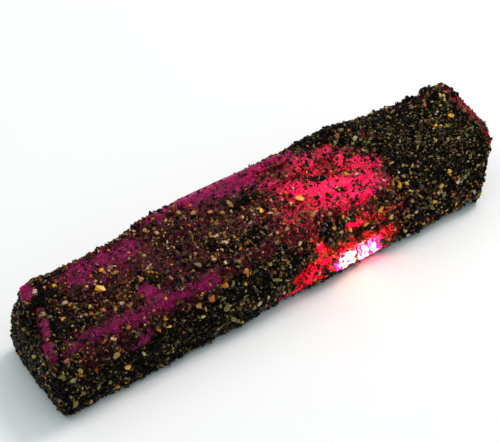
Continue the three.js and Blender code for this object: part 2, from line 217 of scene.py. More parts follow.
# Cover is the share of the crystal that grains hide. It is painted on in strokes, later ones over
# earlier ones: name, where it starts, where it ends, half its width, cover, and how softly it ends.
coverStrokes = [
    ("top left, all", (-50, 2.5, 20.5), (-27, 2.5, 20.5), 8, 0.84, 3),
    ("middle band", (-22, 4, 21), (4, -3, 19.6), 9, 0.69, 3),
    ("left of the middle", (-30, 7, 21.9), (-25, 2, 21), 3, 0.8, 2),
    ("top right", (36, 4, 20.5), (60, 0, 20), 6, 0.95, 3),
    ("top left patch", (-48.2, 6.2, 21.6), (-33.6, 6.2, 21.6), 4.2, 0.28, 2.2),
    ("its front left", (-50.7, 4, 21.6), (-48.3, 1.8, 21.1), 1.4, 0.5, 1.6),
    ("its front", (-43, 3.6, 21.3), (-33, 2.6, 21), 1.6, 0.55, 1.6),
    ("red hollow", (-28, -1, 20.3), (-25.5, -4.3, 19.7), 1.8, 0.55, 1.2),
    ("red by the crest", (-21, 4.3, 22), (-17.5, 4.6, 22.2), 1.8, 0.6, 1.4),
    ("red in the middle", (-8.5, 2.1, 21.1), (-6.5, -1.1, 20.5), 1.8, 0.6, 1.2),
    ("red before the window", (1, -4, 20.1), (9, -5.2, 19.7), 2.4, 0.56, 1.8),
    ("dark clumps, middle", (-9, -4.6, 19.8), (-3, -5.6, 19.5), 1.7, 1, 1),
    ("dark clumps, middle left", (-16, -2.6, 20.1), (-13, -5.2, 19.6), 1.4, 1, 1),
    ("dark clumps, crest side", (-6, 3.6, 21.8), (4, 3.8, 22), 1, 0.98, 1),
    ("crest, far left", (-27, 11.6, 20.3), (-14, 12.2, 21.4), 2.9, 0.3, 1.2),
    ("crest, left", (-14, 12.2, 21.4), (4, 11, 22.5), 3.9, 0.09, 1.2),
    ("crest, right", (4, 10.6, 22.6), (14, 9, 22.8), 3.6, 0.12, 1.4),
    ("crest, far right", (12, 8.2, 22.9), (20, 4.6, 22), 2.6, 0.16, 1.4),
    ("window, all", (10, 4, 22), (29, -4, 20), 5.6, 0.55, 2.4),
    ("window, left", (5.5, 4.6, 21.9), (12, 1.6, 21.1), 2.4, 0.4, 1.4),
    ("window, back", (24, 6.5, 22.5), (30.5, -0.2, 21), 2.6, 0.42, 1.6),
    ("window, right", (27, -1, 20.8), (33.5, -1.6, 20.6), 1.9, 0.34, 1.4),
    ("window, right front", (29, -3, 20), (31, -8, 19), 2, 0.62, 1.6),
    ("window, front", (12.5, -5.6, 19.8), (24, -9.4, 18.2), 2.6, 0.42, 1.6),
    ("window, middle left", (11, 1, 21.2), (17.6, -2.6, 20.7), 2.4, 0.34, 1.4),
    ("window, middle right", (17.6, -3, 20.6), (28.5, -6.6, 19.3), 2.8, 0.24, 1.4),
    ("clump across", (9.5, 5.4, 22.4), (20.4, -0.1, 21.1), 0.6, 0.8, 0.7),
    ("clump behind", (21.3, 4.7, 22.4), (25.2, -2.4, 20.7), 0.7, 0.92, 0.6),
    ("clump at the crest", (6.5, 7.2, 22.8), (13.5, 6.1, 22.7), 0.9, 0.62, 0.9),
    ("first spot", (20, -4.2, 20.3), (20.9, -5, 20.2), 0.7, 0.97, 0.4),
    ("second spot", (16.8, -4.4, 20.2), (17.4, -4.9, 20.1), 0.5, 0.97, 0.4),
    ("third spot", (24.9, -5.3, 19.7), (25.6, -5.8, 19.6), 0.5, 0.97, 0.4),
    ("front glow", (4, -13.4, 5.5), (30, -13.3, 5.5), 4.4, 0.6, 1.4),
    ("front window", (11, -13.3, 4), (28, -13.3, 5.4), 3, 0.58, 1.2),
    ("above the front window", (12, -12.4, 10.6), (31, -12.4, 10), 1.2, 0.86, 1.2),
    ("red above it", (18, -11.3, 14.2), (27, -11.3, 13), 1.7, 0.32, 1),
    ("red right of that", (26, -11.3, 13.4), (35, -11.5, 12), 2, 0.76, 1.8),
    ("red tongue", (9.5, -11.5, 13.4), (9.5, -12.7, 9), 1.4, 0.22, 0.8),
    ("foot of the tongue", (8.7, -12.7, 8.9), (4.5, -13.5, 5), 1.8, 0.4, 1),
    ("sill", (4, -13.1, 2.4), (-9, -13.1, 2.5), 1.3, 0.04, 0.6),
    ("above the ridge, left", (-50, -6.6, 19.2), (-40, -6.6, 19.2), 1.8, 0.76, 1.4),
    ("above the ridge, right", (-33, -7.6, 18.9), (-24, -7.4, 18.9), 1.8, 0.7, 1.4),
    ("front face, left", (-57, -12, 14.6), (-46, -12, 14), 2.2, 0.74, 1.8),
    ("front face, right", (-40, -11.8, 14.8), (-22, -11.8, 14.2), 2, 0.78, 1.8),
    ("ridge, left", (-59.4, -9.4, 18.3), (-46.4, -9.2, 18.5), 1.9, 0.34, 1.3),
    ("ridge, middle", (-46.4, -9.4, 18.3), (-33, -9.8, 18.1), 1.9, 0.3, 1.3),
    ("ridge, right", (-33, -9.8, 18.1), (-19.7, -9.8, 18), 1.8, 0.28, 1.3),
    ("ridge, far right", (-19.7, -9.9, 17.8), (-4, -9.9, 17.7), 1.3, 0.58, 1.2),
    ("bare spot on the ridge", (-25.2, -10.9, 17.2), (-20.4, -10.4, 17.6), 0.9, 0.06, 0.6),
    ("bare patch above the ridge", (-35.8, -4.8, 19.9), (-35, -8.4, 18.7), 1.4, 0.02, 0.6),
    ("bare patch below the ridge", (-43, -12.5, 11.4), (-40.3, -12.2, 13.1), 1.4, 0.02, 0.6),
    ("left end strip, back", (-60, 2.4, 20.8), (-62.4, -4.2, 19.5), 1.1, 0.08, 0.5),
    ("left end strip, front", (-62.4, -4.2, 19.5), (-64.6, -9.6, 17.9), 1.1, 0.06, 0.5),
    ("back corner", (-59.3, 10.3, 21), (-60.6, 7.7, 21.4), 1.5, 0.12, 0.7),
    ("top right corner", (49, 8.8, 21.6), (57, 8.4, 21.9), 1.4, 0.8, 1.6),
    ("red spot, right", (35.6, 6.2, 21.6), (37.6, 5, 21.4), 0.9, 0.66, 0.8),
    ("right end rim, back", (62.3, 9.9, 21.4), (63, 7, 22.3), 1, 0.3, 0.5),
    ("right end rim, middle", (63.6, 7, 22.2), (64.5, -7.9, 18.9), 1, 0.34, 0.5),
    ("right end rim, front", (64.5, -7.9, 18.9), (64.2, -10.1, 16.8), 0.9, 0.4, 0.5),
    ("back window", (-14, 12.6, 13), (9, 12.8, 12.2), 2.4, 0.2, 1.4),
    ("back window, right", (31, 11.6, 10.5), (43, 11.3, 11.2), 2.1, 0.25, 1.4),
    ("back, left", (-52, 11.6, 12), (-30, 12, 10), 3.4, 0.66, 2.2),
]

# How a stroke's edge wanders and frays, in mm.
coverEdge = {
    "wander": 1.0,
    "wanderSpacing": 3.0,
    "fray": 1.3,
    "fraySpacing": 0.9,
    "half": 1.6,          # half width of a stroke that is exactly this ragged
    "mostRagged": 1.1,    # as a share of that, however wide the stroke
    "fade": 1.15,         # as a share of the softness that the stroke names
}


def coverAt(places, edge):
    ragged = edge["wander"] * bumps(places, edge["wanderSpacing"], latticeStarts["edgeWander"])
    ragged += edge["fray"] * bumps(places, edge["fraySpacing"], latticeStarts["edgeFray"])
    cover = np.ones(len(places))
    for name, start, end, half, strokeCover, softness in coverStrokes:
        away = fromLine(places, start, end, half)
        away += ragged * min(edge["mostRagged"], half / edge["half"])
        fade = edge["fade"] * softness
        share = 1 - smoothStep(away, -fade, fade)
        cover += share * (strokeCover - cover)
    return cover


# How deep the CAD crust lies over each point of the crystal, in mm, and 0 where it is open. Rays
# look for it from reach mm outside.
def depthOver(places, normals, reach):
    crust = frame["nodes"]["sand_crust"].data
    faces = [tuple(face.vertices) for face in crust.polygons]
    tree = BVHTree.FromPolygons([corner.co for corner in crust.vertices], faces)
    depths = np.zeros(len(places))
    for i, (place, normal) in enumerate(zip(places, normals)):
        start = Vector(place + normal * reach * mm)
        hit = tree.ray_cast(start, Vector(-normal), reach * mm)
        if hit[0] is not None:
            depths[i] = reach - hit[3] / mm
    return depths


# The bed: dark fine stuff packed between the grains, a closed shell over the covered faces. In mm.
crustBed = {
    "probeReach": 6.0,        # the CAD crust is looked for from this far outside the crystal
    "share": 0.62,            # of the crust's depth that is packed fine stuff
    "least": 0.12,
    "roughHeight": 0.16,
    "roughSpacing": 0.9,
    "needsCover": 0.93,       # where the grains cover less, they sit on the crystal itself
    "fadesOver": (-0.08, 0.05),    # of cover around that
    "patchWander": 0.12,
    "patchSpacing": 1.5,
    "leastKept": 0.05,        # it has no faces where less of it is kept
    "thinnest": 0.05,         # nor where it is thinner than this
    "seat": 0.04,             # it starts this far above the crystal
    "ground": 0.25,           # its outside stays this far above the floor
    "innerGround": 0.2,       # and its inside this far
    "reddens": (0.6, 0.97),   # the cover at which it is fully red, and no longer red at all
}

places, normals = placesOf(crystalMesh), normalsOf(crystalMesh)
designPlaces = places / mm - designStep
cover = coverAt(designPlaces, coverEdge)
depths = depthOver(places, normals, crustBed["probeReach"])
print("cover:", round(float(cover.mean()), 3), "depth:", round(float(depths.mean()), 2), "mm")


# How high the bed stands over each point of the crystal, in mm, and how much of it is kept there.
def bedOver(bed):
    patches = bumps(designPlaces, bed["patchSpacing"], latticeStarts["bedPatches"])
    patchy = cover + bed["patchWander"] * patches
    low, high = bed["fadesOver"]
    kept = smoothStep(patchy, bed["needsCover"] + low, bed["needsCover"] + high)
    rough = bumps(designPlaces, bed["roughSpacing"], latticeStarts["bedRough"])
    height = (np.maximum(depths * bed["share"], bed["least"]) + bed["roughHeight"] * rough) * kept
    return np.maximum(height, 0), kept


bedHeight, bedKept = bedOver(crustBed)
outerPlaces = places + normals * ((bedHeight + crustBed["seat"]) * mm)[:, None]
outerPlaces[:, 2] = np.maximum(outerPlaces[:, 2], crustBed["ground"] * mm)


def makeBed(bed):
    kept = bedKept[crystalCells].min(axis=1) > bed["leastKept"]
    thick = bedHeight[crystalCells].max(axis=1) > bed["thinnest"]
    cells = crystalCells[kept & thick]
    count = len(places)
    inner = places + normals * bed["seat"] * mm
    inner[:, 2] = np.maximum(inner[:, 2], bed["innerGround"] * mm)
    edges = {}
    for cell in cells.tolist():
        for a, b in zip(cell, cell[1:] + cell[:1]):
            edges[(a, b)] = True
    walls = [(b, a, a + count, b + count) for a, b in edges if (b, a) not in edges]
    faces = cells.tolist() + (cells[:, ::-1] + count).tolist() + walls
    mesh = bpy.data.meshes.new("crust_bed")
    mesh.from_pydata(np.vstack([outerPlaces, inner]).tolist(), [], faces)
    storeValues(mesh, "thin", np.tile(1 - smoothStep(cover, *bed["reddens"]), 2))
    shell = bmesh.new()
    shell.from_mesh(mesh)
    loose = [corner for corner in shell.verts if not corner.link_faces]
    bmesh.ops.delete(shell, geom=loose, context="VERTS")
    shell.to_mesh(mesh)
    shell.free()
    return mesh


bedMesh = makeBed(crustBed)
print("bed:", len(bedMesh.polygons), "faces")

# Where each family of grains lies: name, where the stroke starts and ends, half its width, and the
# family's share of the grains there.
familyStrokes = {
    "warm": [
        ("left of the patch", (-58, 6, 20), (-52, -6, 18), 5, 0.26),
        ("front of the patch", (-50, -2, 19), (-30, 0, 19), 5, 0.42),
        ("middle band", (-22, 6, 21), (-4, -7, 18.5), 8, 0.48),
        ("before the window", (2, 0, 20), (12, -8, 19), 5, 0.5),
        ("window", (12, 4, 21), (30, -6, 19), 6, 0.25),
        ("ridge over the window", (10, -11, 17), (36, -11, 17), 4, 0.5),
        ("above the front window", (8, -12, 12), (36, -12, 12), 4, 0.6),
        ("front window", (6, -13, 4), (30, -13, 5), 4, 0.3),
        ("right front", (40, -12, 8), (60, -10, 8), 7, 0.3),
        ("top left patch", (-50, 7, 21), (-28, 6, 21), 4, 0.5),
        ("ridge, left", (-60, -10, 17), (-20, -10, 17), 3, 0.4),
    ],
    "olive": [
        ("left end", (-60, 6, 20), (-62, -8, 10), 7, 0.22),
        ("front left", (-58, -12, 9), (-10, -12, 9), 8, 0.15),
        ("front foot, left", (-30, -12, 5), (-4, -12, 8), 5, 0.34),
        ("top right end", (50, -6, 19), (60, 5, 20), 5, 0.55),
        ("right front", (34, -12, 9), (62, -10, 9), 9, 0.34),
        ("right end", (64, 6, 10), (64, -8, 10), 10, 0.3),
        ("middle band", (-22, 2, 21), (-4, -7, 18.5), 7, 0.16),
    ],
    "silt": [
        ("top right", (36, 4, 20.5), (54, -4, 20), 7, 0.9),
        ("front of the patch", (-56, -4, 19), (-46, -6, 18.6), 3, 0.6),
    ],
}
familyElsewhere = {"warm": 0.08, "olive": 0.10, "silt": 0.0}
familyEdge = {"fade": 3.0, "patchy": 0.6, "patchSpacing": 3.1}    # mm, patchy as a share


def familyAt(points, family):
    share = np.full(len(points), familyElsewhere[family])
    for name, start, end, half, strokeShare in familyStrokes[family]:
        away = fromLine(points, start, end, half)
        near = 1 - smoothStep(away, -familyEdge["fade"], familyEdge["fade"])
        share = np.maximum(share, near * strokeShare)
    patches = bumps(points, familyEdge["patchSpacing"], latticeStarts[family])
    return np.clip(share * (1 + familyEdge["patchy"] * patches), 0, 1)


# How thickly each kind lies for the cover and the families' shares at a point.
strewing = {
    "grainCover": (0.16, 1.0),    # the cover at which grains start, and at which they are full
    "grainsForSilt": 0.5,         # this share of the grains gives way to silt
    "darkForWarm": 0.7,           # and of the dark grains to warm or olive ones
    "darkForOlive": 0.7,
    "crumbsForCover": 1.15,
    "crumbsAtLeast": 0.02,
    "crumbsForBed": 0.5,
    "bedHeight": (0.05, 0.3),     # in mm, at which the bed starts to count and is full
    "darkCrumbsForWarm": 0.8,
    "siltAtLeast": 0.05,
}


# The surface that grains are strewn on: the bed and the bare crystal together.
def strewnSurface(rule):
    mesh = crystalMesh.copy()
    mesh.vertices.foreach_set("co", outerPlaces.ravel())
    mesh.update()
    warm, olive, silt = [familyAt(designPlaces, family) for family in ("warm", "olive", "silt")]
    onBed = smoothStep(bedHeight, *rule["bedHeight"])
    grains = smoothStep(cover, *rule["grainCover"]) * (1 - rule["grainsForSilt"] * silt)
    crumbs = np.clip(cover * rule["crumbsForCover"], rule["crumbsAtLeast"], 1)
    crumbs *= 1 - rule["crumbsForBed"] * onBed
    dark = 1 - rule["darkForWarm"] * warm - rule["darkForOlive"] * olive
    fine = rule["siltAtLeast"] + (1 - rule["siltAtLeast"]) * silt
    storeValues(mesh, "darkCover", grains * dark)
    storeValues(mesh, "warmCover", grains * warm)
    storeValues(mesh, "oliveCover", grains * olive)
    storeValues(mesh, "darkCrumbCover", crumbs * (1 - rule["darkCrumbsForWarm"] * warm))
    storeValues(mesh, "warmCrumbCover", crumbs * warm)
    storeValues(mesh, "siltCover", np.clip(cover, 0, 1) * fine)
    return mesh


strewnMesh = strewnSurface(strewing)

# Angular grains, one metre across before they are scaled: how many shapes, from how many corners,
# and how flat. The half sizes are the same for all, and the corners lie at near to far of them.
chipShape = {"count": 10, "corners": 10, "flatness": 0.85, "seed": 5}
crumbShape = {"count": 8, "corners": 8, "flatness": 0.9, "seed": 6}
hullSize = {"long": 0.5, "wide": 0.42, "near": 0.8, "far": 1.1}


def grainShapes(name, shape):
    shapes = bpy.data.collections.new(name)
    draw = np.random.default_rng(shape["seed"])
    half = np.array([hullSize["long"], hullSize["wide"], hullSize["long"] * shape["flatness"]])
    for number in range(shape["count"]):
        points = draw.normal(size=(shape["corners"], 3))
        points /= np.linalg.norm(points, axis=1)[:, None]
        points *= draw.uniform(hullSize["near"], hullSize["far"], size=(shape["corners"], 1)) * half
        hull = bmesh.new()
        for point in points:
            hull.verts.new(point)
        result = bmesh.ops.convex_hull(hull, input=hull.verts)
        inside = [part for part in result["geom_interior"] if isinstance(part, bmesh.types.BMVert)]
        bmesh.ops.delete(hull, geom=inside, context="VERTS")
        mesh = bpy.data.meshes.new(f"{name}_{number}")
        hull.to_mesh(mesh)
        hull.free()
        shapes.objects.link(bpy.data.objects.new(f"{name}_{number}", mesh))
    return shapes


# Adds a node: settings are its own properties or its sockets' values, links come from sockets.
def addNode(tree, kind, settings=None, links=None):
    node = tree.nodes.new(kind)
    for name, value in (settings or {}).items():
        if isinstance(name, str) and hasattr(node, name):
            setattr(node, name, value)
        else:
            node.inputs[name].default_value = value
    for name, socket in (links or {}).items():
        tree.links.new(socket, node.inputs[name])
    return node


# Each random number of a grain: its step from the seed, and what it ranges over.
grainDraws = {
    "shape": (11, 0, 1000), "size": (23, 0, 1), "width": (37, 0.7, 1), "thickness": (41, 0.65, 1.05),
    "tiltX": (53, 0, 1), "tiltY": (67, 0, 1), "turn": (71, 0, 2 * math.pi), "tone": (83, 0, 1),
}


# Strews grains on a surface: points at least Spacing apart, as dense as the surface's own
# attribute says, each with a random grain, turned, flattened, sunk and toned.
def strewTree():
    tree = bpy.data.node_groups.new("strew grains", "GeometryNodeTree")
    for name, kind in [
        ("Geometry", "Geometry"), ("Grains", "Collection"), ("Cover", "String"), ("Spacing", "Float"),
        ("Density", "Float"), ("Smallest", "Float"), ("Largest", "Float"), ("Size Bias", "Float"),
        ("Tilt", "Float"), ("Sink", "Float"), ("Seed", "Int"), ("Material", "Material"),
    ]:
        tree.interface.new_socket(name, in_out="INPUT", socket_type="NodeSocket" + kind)
    tree.interface.new_socket("Geometry", in_out="OUTPUT", socket_type="NodeSocketGeometry")

    given = addNode(tree, "NodeGroupInput").outputs
    cover = addNode(tree, "GeometryNodeInputNamedAttribute", {"data_type": "FLOAT"},
                    {"Name": given["Cover"]})
    points = addNode(tree, "GeometryNodeDistributePointsOnFaces", {"distribute_method": "POISSON"}, {
        "Mesh": given["Geometry"], "Distance Min": given["Spacing"], "Density Max": given["Density"],
        "Density Factor": cover.outputs["Attribute"], "Seed": given["Seed"],
    })
    pick = addNode(tree, "GeometryNodeCollectionInfo", {
        "transform_space": "ORIGINAL", "Separate Children": True, "Reset Children": True,
    }, {"Collection": given["Grains"]})

    # One random number for each grain, by its index and a step of its own from the seed
    def randomOf(name):
        step, low, high = grainDraws[name]
        seed = addNode(tree, "ShaderNodeMath", {"operation": "ADD", 1: step}, {0: given["Seed"]})
        node = addNode(tree, "FunctionNodeRandomValue", {"data_type": "FLOAT", 2: low, 3: high},
                       {"Seed": seed.outputs[0]})
        return node.outputs[1]

    which = addNode(tree, "ShaderNodeMath", {"operation": "FLOOR"}, {0: randomOf("shape")})
    biased = addNode(tree, "ShaderNodeMath", {"operation": "POWER"},
                     {0: randomOf("size"), 1: given["Size Bias"]})
    size = addNode(tree, "ShaderNodeMapRange", {}, {
        "Value": biased.outputs[0], "To Min": given["Smallest"], "To Max": given["Largest"]})
    scale = addNode(tree, "ShaderNodeCombineXYZ", {}, {"X": size.outputs[0]})
    for axis, name in [("Y", "width"), ("Z", "thickness")]:
        less = addNode(tree, "ShaderNodeMath", {"operation": "MULTIPLY"},
                       {0: size.outputs[0], 1: randomOf(name)})
        tree.links.new(less.outputs[0], scale.inputs[axis])

    tiltBack = addNode(tree, "ShaderNodeMath", {"operation": "MULTIPLY", 1: -1.0}, {0: given["Tilt"]})
    turn = addNode(tree, "ShaderNodeCombineXYZ", {}, {"Z": randomOf("turn")})
    for axis, name in [("X", "tiltX"), ("Y", "tiltY")]:
        tilt = addNode(tree, "ShaderNodeMapRange", {}, {
            "Value": randomOf(name), "To Min": tiltBack.outputs[0], "To Max": given["Tilt"]})
        tree.links.new(tilt.outputs[0], turn.inputs[axis])
    spin = addNode(tree, "FunctionNodeRotateRotation", {"rotation_space": "LOCAL"}, {
        "Rotation": points.outputs["Rotation"], "Rotate By": turn.outputs[0]})

    # Each point remembers the surface's normal, and its grain sinks along it by a share of its size
    rooted = addNode(tree, "GeometryNodeStoreNamedAttribute", {
        "data_type": "FLOAT_VECTOR", "domain": "POINT", "Name": "away",
    }, {"Geometry": points.outputs["Points"], "Value": points.outputs["Normal"]})
    grains = addNode(tree, "GeometryNodeInstanceOnPoints", {"Pick Instance": True}, {
        "Points": rooted.outputs[0], "Instance": pick.outputs[0], "Instance Index": which.outputs[0],
        "Rotation": spin.outputs[0], "Scale": scale.outputs[0],
    })
    away = addNode(tree, "GeometryNodeInputNamedAttribute", {
        "data_type": "FLOAT_VECTOR", "Name": "away"})
    sunk = addNode(tree, "ShaderNodeMath", {"operation": "MULTIPLY"},
                   {0: size.outputs[0], 1: given["Sink"]})
    down = addNode(tree, "ShaderNodeMath", {"operation": "MULTIPLY", 1: -1.0}, {0: sunk.outputs[0]})
    step = addNode(tree, "ShaderNodeVectorMath", {"operation": "SCALE"},
                   {0: away.outputs["Attribute"], "Scale": down.outputs[0]})
    moved = addNode(tree, "GeometryNodeTranslateInstances", {"Local Space": False}, {
        "Instances": grains.outputs[0], "Translation": step.outputs[0]})
    number = addNode(tree, "GeometryNodeInputIndex").outputs[0]
    marked = moved
    for name, value in [("tone", randomOf("tone")), ("grain", number)]:
        marked = addNode(tree, "GeometryNodeStoreNamedAttribute", {
            "data_type": "FLOAT", "domain": "INSTANCE", "Name": name,
        }, {"Geometry": marked.outputs[0], "Value": value})
    real = addNode(tree, "GeometryNodeRealizeInstances", {}, {"Geometry": marked.outputs[0]})
    dressed = addNode(tree, "GeometryNodeSetMaterial", {}, {
        "Geometry": real.outputs[0], "Material": given["Material"]})
    addNode(tree, "NodeGroupOutput", {}, {"Geometry": dressed.outputs[0]})
    return tree


strew = strewTree()
grainSquare = {"reach": 3 * mm, "share": 0.15}    # a grain that reaches this far fills this share


# Gives every grain its own small square of the map that its colours are baked into.
def mapGrains(mesh):
    grain = np.empty(len(mesh.vertices), np.float32)
    mesh.attributes["grain"].data.foreach_get("value", grain)
    grain = np.unique(grain.astype(int), return_inverse=True)[1]
    side = math.ceil(math.sqrt(grain.max() + 1))
    places = placesOf(mesh)
    first = np.zeros((grain.max() + 1, 3))
    first[grain] = places
    around = np.clip((places - first[grain])[:, :2] / grainSquare["reach"], -1, 1)
    middle = np.stack([grain % side, grain // side], axis=1) + 0.5
    spot = middle + grainSquare["share"] * around
    corners = np.empty(len(mesh.loops), int)
    mesh.loops.foreach_get("vertex_index", corners)
    mesh.uv_layers.new(name="OFBake").data.foreach_set("uv", (spot / side)[corners].ravel())


def strewGrains(name, values, shapes, material):
    host = addPiece(name + "_host", strewnMesh.copy())
    modifier = host.modifiers.new("strew", "NODES")
    modifier.node_group = strew
    wanted = {**values, "Grains": shapes, "Material": material}
    for item in strew.interface.items_tree:
        if item.item_type == "SOCKET" and item.in_out == "INPUT" and item.name in wanted:
            modifier[item.identifier] = wanted[item.name]
    bpy.context.view_layer.update()
    graph = bpy.context.evaluated_depsgraph_get()
    mesh = bpy.data.meshes.new_from_object(host.evaluated_get(graph))
    host.modifiers.remove(modifier)
    bpy.data.objects.remove(host)
    places = placesOf(mesh)
    places[:, 2] = np.maximum(places[:, 2], 0)
    mesh.vertices.foreach_set("co", places.ravel())
    mapGrains(mesh)
    for extra in ("grain", "away"):
        mesh.attributes.remove(mesh.attributes[extra])
    mesh.update()
    print(name + ":", len(mesh.polygons), "faces")
    return addPiece(name, mesh)


# The large grains that stand out, each with its place on the stone, its length and its width.
largeGrains = {
    "amber": [
        (-45.4, 0.2, 20.5, 3.4, 2.5), (-42.2, 4.4, 21.7, 1.8, 1.3), (-53.7, 6.3, 21.6, 2, 1.3),
        (-57.1, -2.1, 20, 1.8, 1), (-61.2, -8.4, 18.8, 2, 1.4), (-47.2, -12.8, 7.6, 3.4, 1.8),
        (-34.7, -12.1, 11.7, 2, 1.3), (0.1, -0.3, 20.7, 2.1, 1.4), (10, -2.3, 20.6, 2.7, 2.1),
        (16.4, -10.6, 17.3, 1.8, 1.5), (18.6, -11.5, 13, 1.8, 1.6), (28.4, -11.1, 14.2, 2.8, 1.6),
        (34.5, -9.8, 17.8, 2.4, 1.8), (44.7, -11.8, 9, 2.4, 1.6), (46.7, -11.2, 12.1, 2.2, 1.5),
        (58.6, 0.1, 20.8, 2.4, 1.9), (53.6, -1.2, 20.5, 1.6, 1.3), (52.9, 5.9, 22.1, 1.5, 1.1),
        (60.4, 5.1, 22, 1.6, 1.2), (49.5, -10.6, 15.5, 2, 1.6), (51.5, -12.4, 4.8, 1.6, 1.2),
    ],
    "orange": [
        (-45.3, 4.2, 21.7, 1.6, 1), (-58.9, -12.1, 11.7, 2, 1.3), (-37.7, -12.1, 12.9, 1.8, 1.2),
        (-38.2, -6.5, 19.7, 1.3, 0.9), (-14.1, 9.3, 22.7, 1.5, 1.1), (-11.2, 5, 22.3, 1.9, 1.5),
        (-14.5, -0.5, 20.5, 1.5, 1.1), (-23.7, -6.1, 19.4, 1.4, 1.1), (-15.9, -9.4, 18.4, 1.7, 1.1),
        (-18.4, -11.3, 15.5, 2.4, 1.8), (-22.5, -11.6, 14.1, 2.8, 2.2), (-12.1, -11.1, 16.7, 2.4, 1.8),
        (8.4, 1, 21, 1.8, 1), (10.6, -12.1, 9.5, 2.6, 1.8), (15, -11.8, 11, 2.2, 1.5),
        (6.9, -11.1, 15.9, 1.6, 1.2), (22, -11.2, 14.6, 1.8, 1.2), (54.5, 5, 21.9, 1.6, 1.2),
        (33, 9.3, 22.3, 1.6, 1.2), (-62.8, 6, 6, 2, 1.4), (-47.8, -5, 19.9, 1.8, 1.3),
    ],
    "tan": [
        (-51.9, -4, 19.8, 2.4, 1.2), (-45.4, -6, 19.7, 1.9, 1.4), (-52.5, -1.1, 20.2, 1.6, 1.3),
        (-17.8, 8.6, 22.9, 1.8, 1.4), (-8.5, 3.8, 21.6, 1.9, 1.5), (-5.6, 4.7, 22.2, 2.8, 1.6),
        (-25.5, 6.4, 22.5, 1.7, 1.2), (-27.1, 9.2, 22.1, 1.6, 1.4), (-13, -9, 18.7, 2.2, 1.3),
        (-17.7, -6.2, 19.4, 1.9, 1.5), (-26.3, -11.6, 14.1, 2.8, 1.7), (-49.5, -12.4, 12.5, 2.8, 2.3),
        (36.2, -5, 19.7, 1.7, 1.3), (-31.4, 3, 21, 1.6, 1.3), (2.4, -7.6, 19, 1.7, 1.2),
    ],
    "olive": [
        (-63.9, -11.4, 15, 3, 1.1), (-55.5, -12.8, 6, 2, 1.3), (-62, -12.8, 5.3, 2.8, 1.8),
        (-42, -7, 19.3, 1.9, 1.1), (-4, -5.7, 19.5, 2.6, 1.3), (-19.1, -12.3, 9.6, 2.9, 2.2),
        (-17.4, -12.9, 5.7, 2.5, 1.9), (-15.9, -0.1, 20.6, 1.4, 1.1), (10.2, -7.3, 19.2, 2.1, 1.2),
        (55.8, -2.6, 20.2, 2.4, 1.9), (55.9, -6.9, 19.3, 2.4, 1.5), (54.2, -11.2, 11.7, 2.2, 1.8),
        (33, 2, 21.3, 2.2, 1.6), (35.6, 0.8, 21, 1.6, 1.2), (32.3, -10.7, 16.2, 1.8, 1.2),
        (59.7, 2.9, 21.5, 1.9, 1.5), (43.9, -12.1, 6.9, 2.4, 1.1), (53.7, -9.7, 17.6, 1.8, 1.4),
        (-5, -12.2, 10.5, 2.6, 1.4), (-2.4, -12, 13, 2.2, 1.2), (61.5, -6, 19.3, 2, 1.5),
    ],
    # Pale grains, some of them set where the stone shines white, so partly painted highlights
    "cream": [
        (-54.3, 1.3, 20.6, 2.2, 1.4), (-43.1, -5.8, 19.8, 1.7, 1.3), (-42.1, -12.9, 8.8, 1.8, 1.4),
        (-34.9, -12.9, 5.3, 1.3, 1), (1.5, -2, 20.3, 2, 1.2), (-16, -8.3, 19, 1.4, 1),
        (-10.2, -12.8, 6.4, 2.3, 1.2), (-7.8, -12.6, 7.1, 2, 1.6), (3.8, -11, 16.5, 1.6, 1.2),
        (33.1, 5.6, 22, 2.1, 1.4), (38.1, -11.8, 9.2, 1.8, 1.3), (56.4, 1.7, 21.2, 1.6, 1.2),
    ],
}
largeShape = {
    "corners": 13,
    "divide": (1.8, 2.2),    # its corners lie one metre divided by this from its middle
    "scale": 0.85,           # of the sizes above
    "thick": 0.72,           # of its width
    "roundness": 0.15,
    "sink": 0.2,             # of its thickness
    "seed": 21,
}
largeTones = {"amber": 0.0, "orange": 0.25, "tan": 0.5, "olive": 0.75, "cream": 1.0}


# A rounded grain one metre long: the hull of a few random points, cut finer and swelled a little.
def roundedGrain(draw, shape):
    points = draw.normal(size=(shape["corners"], 3))
    lengths = np.linalg.norm(points, axis=1)[:, None]
    points /= lengths * draw.uniform(*shape["divide"], size=(shape["corners"], 1))
    hull = bmesh.new()
    for point in points:
        hull.verts.new(point)
    bmesh.ops.convex_hull(hull, input=hull.verts)
    bmesh.ops.subdivide_edges(hull, edges=hull.edges, cuts=1, use_grid_fill=True)
    for corner in hull.verts:
        corner.co = corner.co.lerp(corner.co.normalized() / 2, shape["roundness"])
    bmesh.ops.triangulate(hull, faces=hull.faces)
    return hull


